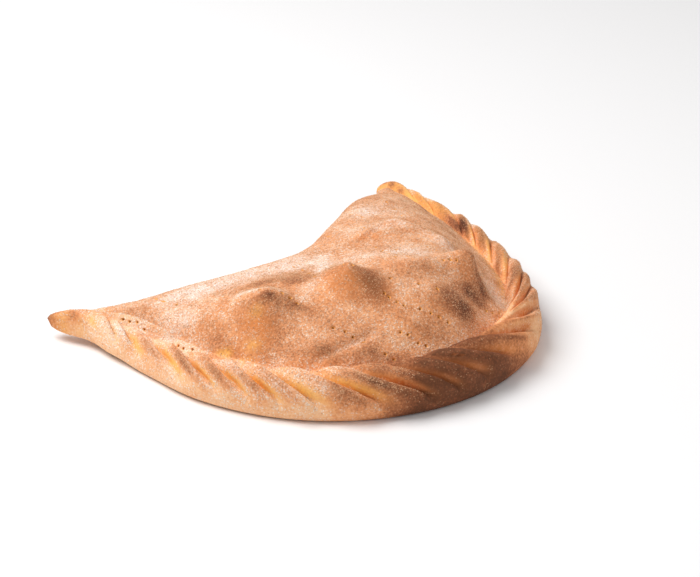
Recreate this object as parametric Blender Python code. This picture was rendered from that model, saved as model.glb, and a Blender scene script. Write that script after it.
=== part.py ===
"""Scacciata: a round of dough folded over its filling into a half moon, with a rim twisted like a rope.

The bread is one solid. It lies on its flat underside at z = 0, with the fold towards +Y, the roped rim
towards -Y and its two tips at -X and +X. Sizes are in millimetres, and the mesh is written in metres.

The skin is a ball of dough whose two poles are the tips. "Along" runs from the left tip (0) to the right
tip (1). "Around" runs once round the cross-section there: up the fold, over the top, down the outside of
the rope and back under the bread.
"""
from math import cos, radians, sin
from types import SimpleNamespace

import bmesh
import bpy
import numpy as np

MM = 0.001

# --- Driving sizes -----------------------------------------------------------------------------------

# Outline in plan, about the hub in the middle of the fold: angle in degrees, radius.
HUB = (-1.7, 43.8)
RIM_RADIUS = ((157, 187), (163, 166), (172, 157), (184, 155), (203, 163), (226, 171), (250, 174),
              (272, 173.8), (296, 170), (311, 164), (330, 157), (348, 159), (364, 169), (376, 177),
              (384, 185.2), (390, 182))
# The fold bends at the hub, because the round was drawn into a crescent: share of its run, x, y.
FOLD_LINE = ((0, -161, 123), (0.07, -147, 103), (0.18, -114, 82), (0.36, -64, 60),
             (0.48, -16, 47), (0.6, 30, 64), (0.78, 90, 100), (0.92, 133, 118), (1, 149, 124))
FOLD_CROWDING = 0.35

# Sizes that change along the bread: place from the left tip (0) to the right tip (1), size.
FOLD_HEIGHT = ((0, 14), (0.05, 19), (0.09, 25), (0.14, 32), (0.22, 38), (0.35, 46), (0.5, 53), (0.65, 53),
               (0.78, 44), (0.87, 33), (0.93, 24), (1, 15))
# How far the dome stays high on its way down from the fold to the rope: smaller is sooner down.
DOME_FULLNESS = ((0, 1.3), (0.3, 1.4), (0.55, 1.4), (0.68, 1.1), (0.8, 0.95), (0.88, 0.9), (1, 0.9))
CROWN = ((0, 2), (0.2, 8), (0.4, 10), (0.65, 10), (0.78, 4), (0.88, 0), (1, 0))
ROPE_HEIGHT = ((0, 17), (0.1, 22), (0.3, 28), (0.5, 30), (0.7, 29), (0.85, 25), (1, 20))
# From the rope's crest out to the rim. Inwards, to the groove, it is the same all along.
ROPE_OUTSIDE = ((0, 8), (0.08, 10), (0.15, 12.5), (0.25, 16), (0.38, 19), (0.5, 17), (0.65, 14), (0.78, 12),
                (0.88, 11), (1, 8))
ROPE_INSIDE = 11
ROPE_WAIST = 0.32
ROPE_FOOT_INSET = 7

# The rope's twists, each as wide along the rim as the fingers made it.
TWIST_WIDTHS = (14, 15, 11, 26, 30, 32, 21, 20, 31, 30, 28, 27, 23, 25, 26, 32, 30, 49, 38, 33, 28, 46,
                22, 59)
TWIST_DEPTH = ((0, 1.5), (0.04, 4.5), (0.1, 7), (0.25, 9.5), (0.5, 10.5), (0.6, 10), (0.68, 8), (0.78, 7),
               (0.88, 6), (1, 2))
# The angle on the rope's outside, over the level of its waist, where the twists fade out.
TWIST_FADE = ((0, 36), (0.1, 28), (0.2, 18), (0.3, 6), (0.4, 4), (0.5, 18), (0.6, 25), (0.7, 44), (0.8, 52),
              (1, 55))
# Share of the bread's length that a strand runs on along the rim while it crosses the rope, by place,
TWIST_SWEEP = ((0, 0), (0.04, 0.035), (0.1, 0.08), (0.2, 0.066), (0.32, 0.1), (0.42, 0.09), (0.48, 0.13),
               (0.58, 0.135), (0.66, 0.09), (0.78, 0.085), (0.9, 0.06), (1, 0))
# and how much of that run lies behind it, by angle: 180 in the groove, 90 on the crest, -90 at the foot.
SWEEP_DONE = ((-90, 1), (10, 0.95), (30, 0.85), (50, 0.67), (70, 0.46), (90, 0.26), (120, 0.09), (180, 0))
# Towards the right tip the strands cross sooner, by an angle.
SWEEP_SOONER = ((0, 0), (0.48, 0), (0.6, 24), (0.7, 35), (1, 35))
# Where a strand's crest lies on it: late on the front, where it drops steeply, and midway at the back.
TWIST_CREST = ((0, 0.7), (0.45, 0.72), (0.55, 0.62), (1, 0.55))
# How far the crest of a twist is tucked over the next one.
TWIST_TUCK = 1.6

FOLD_EDGE_RADIUS = 26
FOLD_EDGE_BELOW = 0.42
GROOVE_HEIGHT = 0.55
GROOVE_ROUNDING = 3
TIP_REACH = 0.024
TIP_LIFT = 5

# Bubbles and swellings: x, y, reach to the left, right, near side and far side, turn, height.
BUBBLES = (
    (-94, -17, 17, 11, 8, 16, -45, 10),
    (-101, -20, 26, 22, 16, 24, -45, 3),
    (-82, -23, 12, 11, 9, 12, -45, 4),
    (-104, 0, 12, 14, 9, 14, -45, 2.5),
    (-37, -32, 17, 10, 12, 15, -45, 11),
    (-46, -40, 22, 18, 18, 16, -45, 3.5),
    (-25, -43, 14, 10, 12, 13, -45, 6.5),
    (57, -57, 13, 6, 8, 10, -45, 9.5),
    (53, -61, 24, 8, 15, 13, -45, 10),
    (76, -68, 11, 16, 14, 16, -45, -5),
    (20, -80, 22, 11, 12, 12, -45, 7),
    (-2, -68, 22, 22, 14, 14, -45, 2.5),
    (14, -44, 24, 22, 14, 10, -45, 4),
    (33, 14, 20, 18, 10, 11, -45, 3),
    (46, 16, 13, 16, 4, 9, -45, 2.5),
    (66, -24, 10, 6, 6, 9, -45, 4),
    (-21, -83, 20, 20, 12, 14, -40, 3),
    (-88, -62, 18, 12, 13, 10, -45, 4.5),
    (-123, -24, 14, 18, 7, 12, -55, 3),
    (-62, -80, 18, 22, 9, 6, -38, 4.5),
    (-70, 6, 22, 14, 9, 12, -45, 3.5),
    (-128, 56, 14, 16, 9, 10, -50, 2.5),
    (88, 62, 16, 16, 12, 12, -45, 2.5),
)
# Creases pressed into the top: x and y where each starts and ends, half width, depth. One with a depth
# below zero is a welt that stands up.
CREASES = (
    (-102, -62, -48, -72, 3, 3),
    (-146, 46, -133, 18, 2.2, 2.5),
    (18, 11, 44, 14, 2, 3),
    (16, 22, 34, 33, 2.5, 2.5),
    (50, 22, 67, -18, 7, -4),
    (-16, -46, 46, -53, 8, -3),
    (-32, 23, 12, 12, 8, -4),
    (-10, 38, 14, 28, 6, 3),
    (-128, -12, -121, -29, 1.8, 2.5),
)

# Shares of the way round that end the fold's side, the dome, the rope's inside and outside.
FOLD_SIDE_END = 0.14
DOME_END = 0.50
ROPE_CREST = 0.62
ROPE_END = 0.84

# Fineness of the solid's mesh: length of a step along the rim, and segments round the cross-section.
TWIST_STEP = 6.0
LEAST_STEPS = 3
SEGMENTS = 50


# --- Helpers -----------------------------------------------------------------------------------------

def curve_through(knots, place, column=1):
    """Smooth curve through a few knots, each a place followed by one or more values."""
    knots = np.array(knots, dtype=float)
    places = knots[:, 0]
    values = knots[:, column]
    slopes = np.gradient(values, places)
    i = np.clip(np.searchsorted(places, place) - 1, 0, len(places) - 2)
    span = places[i + 1] - places[i]
    t = (place - places[i]) / span
    start = (1 + 2 * t) * (1 - t) ** 2 * values[i] + t * (1 - t) ** 2 * span * slopes[i]
    end = t ** 2 * (3 - 2 * t) * values[i + 1] + t ** 2 * (t - 1) * span * slopes[i + 1]
    return start + end


def ramp(start, end, value):
    """Smooth step from 0 at start to 1 at end."""
    t = np.clip((value - start) / (end - start), 0, 1)
    return t * t * (3 - 2 * t)


def soft_larger(a, b, rounding):
    """The larger of two heights, with the corner between them rounded."""
    near = np.maximum(rounding - np.abs(a - b), 0) / rounding
    return np.maximum(a, b) + near * near * rounding / 4


# --- Outline in plan ---------------------------------------------------------------------------------

def rim_point(along):
    first, last = RIM_RADIUS[0][0], RIM_RADIUS[-1][0]
    angle = first + (last - first) * along
    radius = curve_through(RIM_RADIUS, angle)
    turn = np.radians(angle)
    return np.stack([HUB[0] + radius * np.cos(turn), HUB[1] + radius * np.sin(turn)], axis=-1)


def rim_outward(along):
    """Unit vector square to the rim, pointing out of the bread."""
    step = 0.001
    run = rim_point(np.minimum(along + step, 1)) - rim_point(np.maximum(along - step, 0))
    run /= np.linalg.norm(run, axis=-1, keepdims=True)
    return np.stack([run[..., 1], -run[..., 0]], axis=-1)


def fold_share(along):
    """Share of the fold's run, which falls behind the rim's run in the middle of the bread."""
    return along + FOLD_CROWDING * np.sin(2 * np.pi * along) / (2 * np.pi)


def fold_point(along):
    share = fold_share(along)
    return np.stack([curve_through(FOLD_LINE, share, 1), curve_through(FOLD_LINE, share, 2)], axis=-1)


# --- Strands of the rope -----------------------------------------------------------------------------

TWIST_EDGES = np.concatenate([[0], np.cumsum(TWIST_WIDTHS)]) / sum(TWIST_WIDTHS)


def strand_place(strand, angle):
    """Place along the rim that a strand has reached, at an angle of its way over the rope."""
    start = np.interp(strand, range(len(TWIST_EDGES)), TWIST_EDGES)
    crossing = np.maximum(angle - curve_through(SWEEP_SOONER, start), -90)
    return start + curve_through(TWIST_SWEEP, start) * curve_through(SWEEP_DONE, crossing)


def twist_strength(along, angle):
    """Depth of the twists, which fade out on the rope's outside."""
    fade = curve_through(TWIST_FADE, along)
    return ramp(fade - 20, fade + 40, angle) * curve_through(TWIST_DEPTH, along)


def twist_profile(strand, along):
    """Cross-section of a twist: it swells slowly and drops steeply to the next one."""
    part = strand % 1
    crest = curve_through(TWIST_CREST, along)
    rise = np.sin(np.pi / 2 * np.minimum(part / crest, 1) ** 0.8)
    fall = np.cos(np.pi / 2 * np.clip((part - crest) / (1 - crest), 0, 1)) ** 0.8
    return rise * fall - 0.62


def twist_tuck(strand):
    """How far the skin of a twist slides forward, so that it lies over the next one."""
    part = strand % 1
    return TWIST_TUCK * ramp(0.2, 0.85, part) * ramp(1, 0.9, part)


# --- Relief of the top -------------------------------------------------------------------------------

def hills(x, y, rows):
    """Sum of soft hills, each with reaches and a turn of its own."""
    total = np.zeros_like(x)
    for hill_x, hill_y, left, right, near, far, turn, rise in rows:
        u = (x - hill_x) * cos(radians(turn)) + (y - hill_y) * sin(radians(turn))
        v = (y - hill_y) * cos(radians(turn)) - (x - hill_x) * sin(radians(turn))
        u /= np.where(u < 0, left, right)
        v /= np.where(v < 0, near, far)
        total += rise * np.exp(-u * u - v * v)
    return total


def furrows(x, y, rows):
    """Sum of furrows, each as deep as its row says along its middle."""
    total = np.zeros_like(x)
    for x0, y0, x1, y1, half_width, depth in rows:
        run = (x1 - x0) ** 2 + (y1 - y0) ** 2
        share = np.clip(((x - x0) * (x1 - x0) + (y - y0) * (y1 - y0)) / run, 0, 1)
        away = np.hypot(x - x0 - share * (x1 - x0), y - y0 - share * (y1 - y0))
        total += depth * np.exp(-(away / half_width) ** 2) * np.sin(np.pi * (0.04 + 0.92 * share)) ** 0.5
    return total


def top_relief(x, y):
    """Height of the bubbles and creases over the plain top."""
    return hills(x, y, BUBBLES) - furrows(x, y, CREASES)


# --- One cross-section -------------------------------------------------------------------------------

def slice_sizes(along):
    """The fold, the rope's axis and the sizes of the slice at each place along the bread."""
    cut = SimpleNamespace(along=along, fold=fold_point(along), rim=rim_point(along))
    cut.outward = rim_outward(along)
    cut.rimwise = np.stack([-cut.outward[..., 1], cut.outward[..., 0]], axis=-1)
    width = np.linalg.norm(cut.rim - cut.fold, axis=-1)
    outside = curve_through(ROPE_OUTSIDE, along)
    narrowing = 1 - np.exp(-width / (outside + ROPE_INSIDE))
    cut.outside = outside * narrowing
    cut.inside = ROPE_INSIDE * narrowing
    cut.rope_height = curve_through(ROPE_HEIGHT, along)
    cut.rope_axis = cut.rim - cut.outward * cut.outside[..., None]
    cut.reach = np.linalg.norm(cut.rope_axis - cut.fold, axis=-1)
    cut.fold_height = curve_through(FOLD_HEIGHT, fold_share(along))
    cut.edge = np.minimum(FOLD_EDGE_RADIUS, 0.45 * cut.reach) / cut.reach
    return cut


def plan(cut, share):
    """Point on the line that leaves the fold towards the rope and meets it square."""
    t = share[..., None]
    straight = cut.rope_axis - cut.fold
    square = cut.outward * cut.reach[..., None]
    from_fold = (1 + 2 * t) * (1 - t) ** 2 * cut.fold + t * (1 - t) ** 2 * straight
    to_rope = t ** 2 * (3 - 2 * t) * cut.rope_axis + t ** 2 * (t - 1) * square
    return from_fold + to_rope


def fold_side(cut, around):
    """The fold's rounded side, from its foot to its top."""
    rise = np.radians(-90 + 180 * np.clip(around / FOLD_SIDE_END, 0, 1))
    waist = FOLD_EDGE_BELOW * cut.fold_height
    side = plan(cut, cut.edge * (1 - np.cos(rise)))
    return side, waist + np.sin(rise) * np.where(rise < 0, waist, cut.fold_height - waist)


def top(cut, around, angle, lobes, tuck):
    """The top, from the fold to the crest of the rope: the higher of the dome and the rope."""
    over_dome = np.clip((around - FOLD_SIDE_END) / (DOME_END - FOLD_SIDE_END), 0, 1)
    groove_share = np.maximum(1 - cut.inside / cut.reach, cut.edge)
    tucked = np.cos(np.radians(180 - angle))
    share = cut.edge + (groove_share - cut.edge) * over_dome * (1.3 - 0.3 * over_dome)
    share = np.where(around > DOME_END, 1 - (1 - groove_share) * tucked, share)
    top_plan = plan(cut, share)
    across = (share - cut.edge) / (1 - cut.edge)
    groove = GROOVE_HEIGHT * cut.rope_height
    fullness = curve_through(DOME_FULLNESS, cut.along)
    dome_z = groove + (cut.fold_height - groove) * np.cos(np.pi / 2 * across ** fullness)
    dome_z += curve_through(CROWN, cut.along) * np.sin(np.pi * np.clip(across, 0, 1)) ** 1.5
    dome_z += top_relief(top_plan[..., 0], top_plan[..., 1]) * ramp(0, 0.1, across) * ramp(1, 0.85, across)
    roundness = np.sqrt(1 - tucked ** 2)
    rope_z = cut.rope_height / 2 + (cut.rope_height / 2 + lobes) * roundness
    rope_z = np.where(around > DOME_END, rope_z, 0)
    top_plan = top_plan + tuck * (ramp(-3, 0, rope_z - dome_z) * roundness)[..., None]
    return top_plan, soft_larger(dome_z, rope_z, GROOVE_ROUNDING)


def rope_side(cut, angle, lobes, tuck):
    """The rope's outside, from its crest to its foot."""
    turn = np.radians(np.clip(angle, -90, 90))
    waist = ROPE_WAIST * cut.rope_height
    foot_inset = np.minimum(ROPE_FOOT_INSET, cut.outside * 0.8)
    bulge = np.where(turn > 0, cut.outside * np.cos(turn), cut.outside - foot_inset * (1 - np.cos(turn)))
    bulge += lobes * np.cos(turn)
    side = cut.rope_axis + cut.outward * bulge[..., None] + tuck
    return side, waist + np.sin(turn) * np.where(turn > 0, cut.rope_height - waist + lobes, waist)


def underside(cut, to_fold):
    """The flat underside, back to the fold's foot."""
    foot_inset = np.minimum(ROPE_FOOT_INSET, cut.outside * 0.8)
    foot = cut.rope_axis + cut.outward * (cut.outside - foot_inset)[..., None]
    return foot + (plan(cut, cut.edge) - foot) * to_fold[..., None]


def way_over_rope(around):
    """Angle on the way over the rope: 180 in the groove, 90 on its crest and -90 at its foot."""
    to_crest = np.clip((around - DOME_END) / (ROPE_CREST - DOME_END), 0, 1)
    to_foot = np.clip((around - ROPE_CREST) / (ROPE_END - ROPE_CREST), 0, 1)
    return 180 - 90 * to_crest - 180 * to_foot


# --- Skin --------------------------------------------------------------------------------------------

def skin(strand, around):
    """Points of the bread's skin in millimetres. Strand counts the twists from the left tip."""
    # Rings of the skin cross the dome square to the rim and then follow the strands over the rope.
    to_fold = np.clip((around - ROPE_END) / (1 - ROPE_END), 0, 1)
    angle = way_over_rope(around)
    cut = slice_sizes(strand_place(strand, angle + 270 * to_fold))
    strength = twist_strength(cut.along, angle)
    lobes = twist_profile(strand, cut.along) * strength
    tuck = cut.rimwise * (twist_tuck(strand) * strength / 7)[..., None]

    side_plan, side_z = fold_side(cut, around)
    top_plan, top_z = top(cut, around, angle, lobes, tuck)
    rope_plan, rope_z = rope_side(cut, angle, lobes, tuck)
    under_plan = underside(cut, to_fold)
    parts = [around < FOLD_SIDE_END, around < ROPE_CREST, around < ROPE_END]
    xy = np.select([part[..., None] for part in parts], [side_plan, top_plan, rope_plan], under_plan)
    z = np.select(parts, [side_z, top_z, rope_z], 0)
    points = np.concatenate([xy, z[..., None]], axis=-1)

    # The tips are drawn to a blunt point, a little off the table.
    from_tip = np.clip(np.minimum(cut.along, 1 - cut.along) / TIP_REACH, 0, 1)
    taper = np.sqrt(1 - (1 - from_tip) ** 2)
    middle = np.concatenate([(cut.fold + cut.rim) / 2, cut.rope_height[..., None] / 2], axis=-1)
    points = middle + (points - middle) * taper[..., None]
    points[..., 2] += TIP_LIFT * (ramp(0.12, 0, cut.along) + ramp(0.88, 1, cut.along))
    return points


# --- Solid -------------------------------------------------------------------------------------------

def strand_steps(step):
    """Places of the skin's rings, counted in twists: a wide twist has more of them than a narrow one."""
    places = []
    for twist, width in enumerate(TWIST_WIDTHS):
        count = max(LEAST_STEPS, round(width / step))
        places.extend(twist + np.arange(count) / count)
    return np.array(places + [len(TWIST_WIDTHS)])


def dough_ball(name, step, segments):
    """A ball with its poles at the tips, every point of it moved to the bread's skin."""
    strands = strand_steps(step)
    rings = len(strands) - 1
    ball = bmesh.new()
    bmesh.ops.create_uvsphere(ball, u_segments=segments, v_segments=rings, radius=1)
    mesh = bpy.data.meshes.new(name)
    ball.to_mesh(mesh)
    ball.free()
    places = np.empty(len(mesh.vertices) * 3, dtype=np.float32)
    mesh.vertices.foreach_get("co", places)
    x, y, z = places.reshape(-1, 3).astype(float).T
    ring = np.rint(np.arccos(np.clip(z, -1, 1)) / np.pi * rings).astype(int)
    around = np.arctan2(-y, x) / (2 * np.pi) % 1
    mesh.vertices.foreach_set("co", (skin(strands[ring], around) * MM).ravel())
    mesh.update()
    return mesh


def crust_material():
    material = bpy.data.materials.new("baked_crust")
    material.use_nodes = True
    surface = material.node_tree.nodes["Principled BSDF"]
    surface.inputs["Base Color"].default_value = (0.56, 0.29, 0.13, 1)
    surface.inputs["Roughness"].default_value = 0.85
    surface.inputs["Metallic"].default_value = 0
    return material


def make_scacciata():
    for old in list(bpy.data.objects):
        bpy.data.objects.remove(old, do_unlink=True)
    collection = bpy.data.collections.new("scacciata")
    bpy.context.scene.collection.children.link(collection)

    mesh = dough_ball("scacciata", TWIST_STEP, SEGMENTS)
    mesh.shade_smooth()
    mesh.materials.append(crust_material())
    bread = bpy.data.objects.new("scacciata", mesh)
    collection.objects.link(bread)
    return bread


make_scacciata()
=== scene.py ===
# %% [markdown]
# # Scacciata: a half-moon bread with a roped rim
# A scacciata is a round of dough, covered with filling, folded in half and closed by twisting its edge
# into a thick rope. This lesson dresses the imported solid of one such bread. It makes a finer skin with
# the same shape, pricks it with a fork, bakes it in a shader and strews it with semolina. Lengths in
# the recipe are in millimetres, and the meshes are in metres.

# %% Load the fixed frame
from math import cos, radians, sin
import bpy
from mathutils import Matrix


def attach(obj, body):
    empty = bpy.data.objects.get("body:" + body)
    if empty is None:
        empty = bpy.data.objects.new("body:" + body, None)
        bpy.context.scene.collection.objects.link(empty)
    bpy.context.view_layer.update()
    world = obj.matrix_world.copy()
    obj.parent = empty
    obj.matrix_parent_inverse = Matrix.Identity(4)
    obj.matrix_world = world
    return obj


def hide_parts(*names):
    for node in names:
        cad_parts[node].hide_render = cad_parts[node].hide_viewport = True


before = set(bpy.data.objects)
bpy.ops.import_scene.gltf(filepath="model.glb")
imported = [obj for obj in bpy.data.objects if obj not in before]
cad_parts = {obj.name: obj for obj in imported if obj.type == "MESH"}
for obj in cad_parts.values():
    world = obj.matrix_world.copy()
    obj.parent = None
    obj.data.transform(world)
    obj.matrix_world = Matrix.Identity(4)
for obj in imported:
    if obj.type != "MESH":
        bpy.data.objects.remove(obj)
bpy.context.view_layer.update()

from types import SimpleNamespace

import bmesh
import bpy
import numpy as np
from mathutils import Matrix, Vector

MM = 0.001


# %% [markdown]
# ## The outline
# Seen from above, the rim is most of a circle that was drawn into a crescent while the bread was laid
# out. It could be a spline drawn by hand, but a radius about one hub is easier to read and to correct:
# each pair below is an angle and the distance from the hub to the rim. The fold bends at the hub.

# %% Outline in plan
HUB = (-1.7, 43.8)
RIM_RADIUS = ((157, 187), (163, 166), (172, 157), (184, 155), (203, 163), (226, 171), (250, 174),
              (272, 173.8), (296, 170), (311, 164), (330, 157), (348, 159), (364, 169), (376, 177),
              (384, 185.2), (390, 182))
# Share of the fold's run, x, y.
FOLD_LINE = ((0, -161, 123), (0.07, -147, 103), (0.18, -114, 82), (0.36, -64, 60),
             (0.48, -16, 47), (0.6, 30, 64), (0.78, 90, 100), (0.92, 133, 118), (1, 149, 124))
FOLD_CROWDING = 0.35
print("rim drawn through", len(RIM_RADIUS), "radii, fold through", len(FOLD_LINE), "points")

# %% [markdown]
# ## Sizes that change along the bread
# A hand-made bread has no single height or rim width, so each size is a short row of pairs: the place
# along the bread, from the left tip (0) to the right tip (1), and the size there. One helper draws a
# smooth curve through such a row. It is used for everything from the fold's height to the browning.

# %% Smooth curves through a few sizes
def hermite(t, first, leaving, last, arriving, span=1):
    """Smooth way from first to last as t goes from 0 to 1, with a slope over the span at each end."""
    start = (1 + 2 * t) * (1 - t) ** 2 * first + t * (1 - t) ** 2 * span * leaving
    end = t ** 2 * (3 - 2 * t) * last + t ** 2 * (t - 1) * span * arriving
    return start + end


def curve_through(knots, place, column=1):
    """Smooth curve through a few knots, each a place followed by one or more values."""
    knots = np.array(knots, dtype=float)
    places = knots[:, 0]
    values = knots[:, column]
    slopes = np.gradient(values, places)
    i = np.clip(np.searchsorted(places, place) - 1, 0, len(places) - 2)
    span = places[i + 1] - places[i]
    t = (place - places[i]) / span
    return hermite(t, values[i], slopes[i], values[i + 1], slopes[i + 1], span)


def ramp(start, end, value):
    """Smooth step from 0 at start to 1 at end."""
    t = np.clip((value - start) / (end - start), 0, 1)
    return t * t * (3 - 2 * t)


def band(value, start, full, last_full, end):
    """1 from full to last full, and smoothly down to 0 at the start and at the end."""
    return ramp(start, full, value) * ramp(end, last_full, value)


def soft_larger(a, b, rounding):
    """The larger of two heights, with the corner between them rounded."""
    near = np.maximum(rounding - np.abs(a - b), 0) / rounding
    return np.maximum(a, b) + near * near * rounding / 4


FOLD_HEIGHT = ((0, 14), (0.05, 19), (0.09, 25), (0.14, 32), (0.22, 38), (0.35, 46), (0.5, 53), (0.65, 53),
               (0.78, 44), (0.87, 33), (0.93, 24), (1, 15))
# How far the dome stays high on its way down from the fold to the rope: smaller is sooner down.
DOME_FULLNESS = ((0, 1.3), (0.3, 1.4), (0.55, 1.4), (0.68, 1.1), (0.8, 0.95), (0.88, 0.9), (1, 0.9))
# How far the middle of the dome swells above that line, and how much it keeps the swelling to its middle.
CROWN = ((0, 2), (0.2, 8), (0.4, 10), (0.65, 10), (0.78, 4), (0.88, 0), (1, 0))
CROWN_FOCUS = 1.5
ROPE_HEIGHT = ((0, 17), (0.1, 22), (0.3, 28), (0.5, 30), (0.7, 29), (0.85, 25), (1, 20))
# From the rope's crest out to the rim. Inwards, to the groove, it is the same all along.
ROPE_OUTSIDE = ((0, 8), (0.08, 10), (0.15, 12.5), (0.25, 16), (0.38, 19), (0.5, 17), (0.65, 14), (0.78, 12),
                (0.88, 11), (1, 8))
ROPE_INSIDE = 11
# Where the rope is widest, as a share of its height, and how far its foot is set in: up to a share of
# the outside.
ROPE_WAIST = 0.32
ROPE_FOOT_INSET = 7
ROPE_FOOT_MOST = 0.8
print("height of the fold halfway along:", curve_through(FOLD_HEIGHT, np.array(0.5)), "mm")

# %% [markdown]
# ## The rim and the fold as curves
# Two curves carry the whole bread. The rim turns about the hub at an even rate. The fold is shorter, so
# its points crowd together in the middle, where the bread is bent, and the share below takes care of it.

# %% Rim and fold
def rim_point(along):
    first, last = RIM_RADIUS[0][0], RIM_RADIUS[-1][0]
    angle = first + (last - first) * along
    radius = curve_through(RIM_RADIUS, angle)
    turn = np.radians(angle)
    return np.stack([HUB[0] + radius * np.cos(turn), HUB[1] + radius * np.sin(turn)], axis=-1)


def rim_outward(along):
    """Unit vector square to the rim, pointing out of the bread."""
    step = 0.001
    run = rim_point(np.minimum(along + step, 1)) - rim_point(np.maximum(along - step, 0))
    run /= np.linalg.norm(run, axis=-1, keepdims=True)
    return np.stack([run[..., 1], -run[..., 0]], axis=-1)


def fold_share(along):
    """Share of the fold's run, which falls behind the rim's run in the middle of the bread."""
    return along + FOLD_CROWDING * np.sin(2 * np.pi * along) / (2 * np.pi)


def fold_point(along):
    share = fold_share(along)
    return np.stack([curve_through(FOLD_LINE, share, 1), curve_through(FOLD_LINE, share, 2)], axis=-1)


rim_length = np.linalg.norm(np.diff(rim_point(np.linspace(0, 1, 400)), axis=0), axis=1).sum()
print("rim is", round(float(rim_length)), "mm long")

# %% [markdown]
# ## The rope's strands
# The edge is pinched and laid over itself again and again, so each twist is a strand that starts in the
# groove, climbs over the crest and slants down the outside, where it fades into smooth dough. Carving
# slanted grooves into a plain tube would leave ragged edges wherever they cut across the mesh. Here the
# rings of the mesh themselves follow the strands, so every valley lies along a row of points.

# %% Strands
TWIST_DEPTH = ((0, 1.5), (0.04, 4.5), (0.1, 7), (0.25, 9.5), (0.5, 10.5), (0.6, 10), (0.68, 8), (0.78, 7),
               (0.88, 6), (1, 2))
# The angle on the rope's outside, over the level of its waist, where the twists fade out, and the
# degrees below and above it over which they do.
TWIST_FADE = ((0, 36), (0.1, 28), (0.2, 18), (0.3, 6), (0.4, 4), (0.5, 18), (0.6, 25), (0.7, 44), (0.8, 52),
              (1, 55))
FADE_BELOW = 20
FADE_ABOVE = 40
# The rope's twists, each as wide along the rim as the fingers made it.
TWIST_WIDTHS = (14, 15, 11, 26, 30, 32, 21, 20, 31, 30, 28, 27, 23, 25, 26, 32, 30, 49, 38, 33, 28, 46,
                22, 59)
# Share of the bread's length that a strand runs on along the rim while it crosses the rope, by place,
TWIST_SWEEP = ((0, 0), (0.04, 0.035), (0.1, 0.08), (0.2, 0.066), (0.32, 0.1), (0.42, 0.09), (0.48, 0.13),
               (0.58, 0.135), (0.66, 0.09), (0.78, 0.085), (0.9, 0.06), (1, 0))
# and how much of that run lies behind it, by angle: 180 in the groove, 90 on the crest, -90 at the foot.
SWEEP_DONE = ((-90, 1), (10, 0.95), (30, 0.85), (50, 0.67), (70, 0.46), (90, 0.26), (120, 0.09), (180, 0))
# Towards the right tip the strands cross sooner, by an angle.
SWEEP_SOONER = ((0, 0), (0.48, 0), (0.6, 24), (0.7, 35), (1, 35))
# Where a strand's crest lies on it: late on the front, where it drops steeply, and midway at the back.
TWIST_CREST = ((0, 0.7), (0.45, 0.72), (0.55, 0.62), (1, 0.55))
# How full a twist swells (less is fuller), and the level on it that leaves the rope as thick as it was.
TWIST_FULLNESS = 0.8
TWIST_LEVEL = 0.62
# How far a twist's crest is tucked over the next one, where across it the tuck grows and ends, and how
# deep a twist is when all of it is tucked.
TWIST_TUCK = 1.6
TUCK_RISE = (0.2, 0.85)
TUCK_FALL = (1, 0.9)
TUCKED_DEPTH = 7
TWIST_EDGES = np.concatenate([[0], np.cumsum(TWIST_WIDTHS)]) / sum(TWIST_WIDTHS)


def strand_place(strand, angle):
    """Place along the rim that a strand has reached, at an angle of its way over the rope."""
    start = np.interp(strand, range(len(TWIST_EDGES)), TWIST_EDGES)
    crossing = np.maximum(angle - curve_through(SWEEP_SOONER, start), -90)
    return start + curve_through(TWIST_SWEEP, start) * curve_through(SWEEP_DONE, crossing)


def twist_strength(along, angle):
    """Depth of the twists, which fade out on the rope's outside."""
    fade = curve_through(TWIST_FADE, along)
    return ramp(fade - FADE_BELOW, fade + FADE_ABOVE, angle) * curve_through(TWIST_DEPTH, along)


def twist_profile(strand, along):
    """Cross-section of a twist: it swells slowly and drops steeply to the next one."""
    part = strand % 1
    crest = curve_through(TWIST_CREST, along)
    rise = np.sin(np.pi / 2 * np.minimum(part / crest, 1) ** TWIST_FULLNESS)
    fall = np.cos(np.pi / 2 * np.clip((part - crest) / (1 - crest), 0, 1)) ** TWIST_FULLNESS
    return rise * fall - TWIST_LEVEL


def twist_tuck(strand):
    """How far the skin of a twist slides forward, so that it lies over the next one."""
    part = strand % 1
    return TWIST_TUCK * ramp(*TUCK_RISE, part) * ramp(*TUCK_FALL, part)


print(len(TWIST_WIDTHS), "twists, from", min(TWIST_WIDTHS), "to", max(TWIST_WIDTHS), "mm wide")

# %% [markdown]
# ## Bubbles, swellings and creases
# Steam lifts the top crust into bubbles that are steep on one side and trail off on the other. A row of
# the table is a soft hill with four reaches of its own: left, right, near and far. The same kind of row
# later says where the crust browned or kept its flour, because that follows the hills.

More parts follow.
